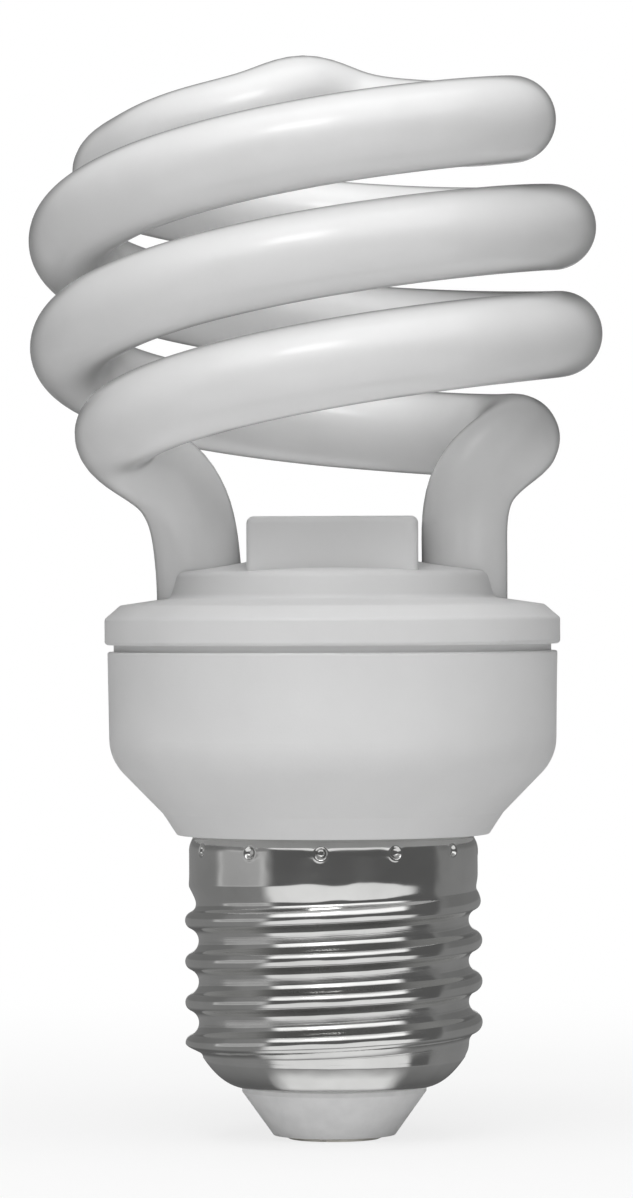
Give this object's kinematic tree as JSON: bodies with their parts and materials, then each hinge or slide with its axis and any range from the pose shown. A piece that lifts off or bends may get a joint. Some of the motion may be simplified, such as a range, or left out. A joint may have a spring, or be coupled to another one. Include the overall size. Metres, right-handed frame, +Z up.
{
  "type": "spiral energy saving lamp",
  "caption": "Compact fluorescent lamp: double-helix glass tube on a round white ballast housing with an Edison screw cap",
  "frame": {"origin": "centre of the bottom face of the centre contact, on the axis of the screw cap", "axes": "+Z up along the cap axis towards the glass, +X to the right of the front view, -Y to the front"},
  "size_m": [0.0507, 0.0518, 0.096],
  "materials": {
    "board": "phenolic paper board",
    "bobbin_plastic": "black moulded plastic",
    "can_sleeve": "aluminium can in a dark sleeve",
    "cap_insulation": "white insulating body",
    "cement": "white silicone cement",
    "contact_metal": "tinned contact plate",
    "copper_wire": "enamelled copper",
    "cover_plastic": "white moulded plastic, satin",
    "disc_body": "dipped ceramic disc",
    "ferrite": "dark ferrite",
    "film_box": "dipped film capacitor",
    "housing_plastic": "white moulded plastic, satin",
    "moulded_black": "black moulding compound",
    "nickel_shell": "nickel-plated sheet, rolled",
    "phosphor_glass": "smooth white glossy glass, phosphor coated inside",
    "resistor_body": "lacquered resistor body",
    "tinned_wire": "tinned wire",
    "wire_sleeve": "sleeved wire"
  },
  "bodies": {
    "root": {"base_housing": "housing_plastic", "base_resistor_1": "resistor_body", "base_resistor_2": "resistor_body", "cap_insulator": "cap_insulation", "centre_contact": "contact_metal", "choke_bobbin": "bobbin_plastic", "choke_core_lower": "ferrite", "choke_core_upper": "ferrite", "choke_winding": "copper_wire", "circuit_board": "board", "contact_wire": "wire_sleeve", "coupling_capacitor": "film_box", "diac": "moulded_black", "drive_ring": "ferrite", "drive_windings": "copper_wire", "electrolytic_capacitor": "can_sleeve", "filament_lead_1": "tinned_wire", "filament_lead_2": "tinned_wire", "filament_lead_3": "tinned_wire", "filament_lead_4": "tinned_wire", "fuse_resistor": "resistor_body", "line_choke_core": "ferrite", "line_choke_winding": "copper_wire", "rectifier_diode_1": "moulded_black", "rectifier_diode_2": "moulded_black", "rectifier_diode_3": "moulded_black", "rectifier_diode_4": "moulded_black", "resonant_capacitor": "film_box", "screw_shell": "nickel_shell", "shell_wire": "wire_sleeve", "spiral_tube": "phosphor_glass", "start_capacitor": "disc_body", "start_resistor": "resistor_body", "transistor_1": "moulded_black", "transistor_2": "moulded_black", "tube_cement_1": "cement", "tube_cement_2": "cement", "tube_cover": "cover_plastic", "wrap_pin_1": "tinned_wire", "wrap_pin_2": "tinned_wire", "wrap_pin_3": "tinned_wire", "wrap_pin_4": "tinned_wire"}
  },
  "joints": []
}
